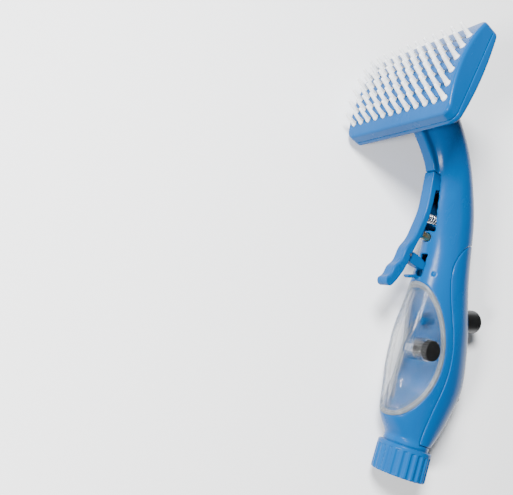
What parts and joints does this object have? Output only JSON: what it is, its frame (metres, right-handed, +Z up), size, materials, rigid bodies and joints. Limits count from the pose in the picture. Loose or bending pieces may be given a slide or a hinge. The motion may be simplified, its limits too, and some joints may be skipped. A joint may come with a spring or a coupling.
{
  "type": "handheld bath sprayer",
  "caption": "Handheld pet bath sprayer lying on its side: bristled spray head on a gooseneck handle with squeeze trigger, clear soap tank, soap pump button and swivel hose collar.",
  "frame": {"origin": "centre of the bounding box on the floor that the sprayer lies on", "axes": "+Z up from the floor, +Y along the handle from the hose collar towards the head, -X the way the bristles and the trigger face"},
  "size_m": [0.1434, 0.2868, 0.0969],
  "materials": {
    "shell_blue": "glossy moulded ABS, bright azure",
    "tank_clear": "clear moulded plastic",
    "bristle_white": "soft white moulded rubber",
    "soft_black": "satin black moulded rubber",
    "button_black": "black moulded plastic",
    "seal_grey": "translucent grey seal",
    "seal_black": "black seal rubber",
    "brass": "turned brass",
    "steel": "bright stainless steel",
    "hose_white": "milky soft hose",
    "valve_white": "natural acetal"
  },
  "bodies": {
    "handle": {"main_housing": "shell_blue", "back_cover": "shell_blue", "cover_screws": "steel", "inlet_spigot": "valve_white", "filter_screen": "steel", "supply_tube": "hose_white", "valve_body": "valve_white", "valve_gland": "brass", "valve_spring": "steel", "outlet_tube": "hose_white", "spray_face_plate": "shell_blue", "bristle_pad": "bristle_white", "head_gasket": "seal_black", "head_rear_shell": "shell_blue", "neck_seal": "seal_black", "trigger_pin": "steel", "trigger_spring": "steel", "spring_seat": "shell_blue", "soap_tank": "tank_clear", "tank_gasket": "seal_grey", "filler_neck": "tank_clear", "dip_tube": "hose_white", "pump_barrel": "valve_white", "button_spring": "steel", "button_guide": "button_black", "pump_check_ball": "steel", "soap_hose": "hose_white"},
    "collar": {"collar_nut": "shell_blue", "inlet_washer": "seal_black"},
    "trigger": {"trigger": "shell_blue", "latch_pin": "steel"},
    "lock_latch": {"lock_latch": "shell_blue"},
    "valve_stem": {"valve_stem": "brass", "valve_stem_seal": "seal_black"},
    "soap_button": {"soap_button": "button_black", "pump_piston": "valve_white", "piston_seal": "seal_black"},
    "filler_plug": {"filler_plug": "soft_black"}
  },
  "joints": [
    {"name": "trigger_squeeze", "type": "hinge", "parent": "handle", "child": "trigger", "pos_m": [0.0105, 0.0528, 0.0325], "axis": [0.281, -0.027, 0.9593], "range_deg": [0, 8], "stiffness_Nm_per_rad": 0.5, "springref_deg": -11.46, "deforming": ["trigger_spring"]},
    {"name": "valve_push", "type": "slide", "parent": "handle", "child": "valve_stem", "axis": [0.9597, 0.0079, -0.2809], "range_m": [0, 0.0056], "deforming": ["valve_spring"]},
    {"name": "latch_swing", "type": "hinge", "parent": "trigger", "child": "lock_latch", "pos_m": [-0.00715, -0.00432, 0.03607], "axis": [-0.281, 0.027, -0.9593], "range_deg": [0, 12]},
    {"name": "soap_press", "type": "slide", "parent": "handle", "child": "soap_button", "axis": [-0.9163, -0.3048, 0.2598], "range_m": [0, 0.0045], "stiffness_N_per_m": 500, "springref_m": -0.004, "deforming": ["button_spring"]},
    {"name": "collar_turn", "type": "hinge", "parent": "handle", "child": "collar", "pos_m": [0.03642, -0.13491, 0.01963], "axis": [0, 0.9996, 0.0281], "continuous": true},
    {"name": "plug_pull", "type": "slide", "parent": "handle", "child": "filler_plug", "axis": [0.281, -0.027, 0.9593], "range_m": [0, 0.014]}
  ],
  "couplings": [
    {"joint": "valve_push", "follows": "trigger_squeeze", "m_per_rad": 0.039}
  ]
}
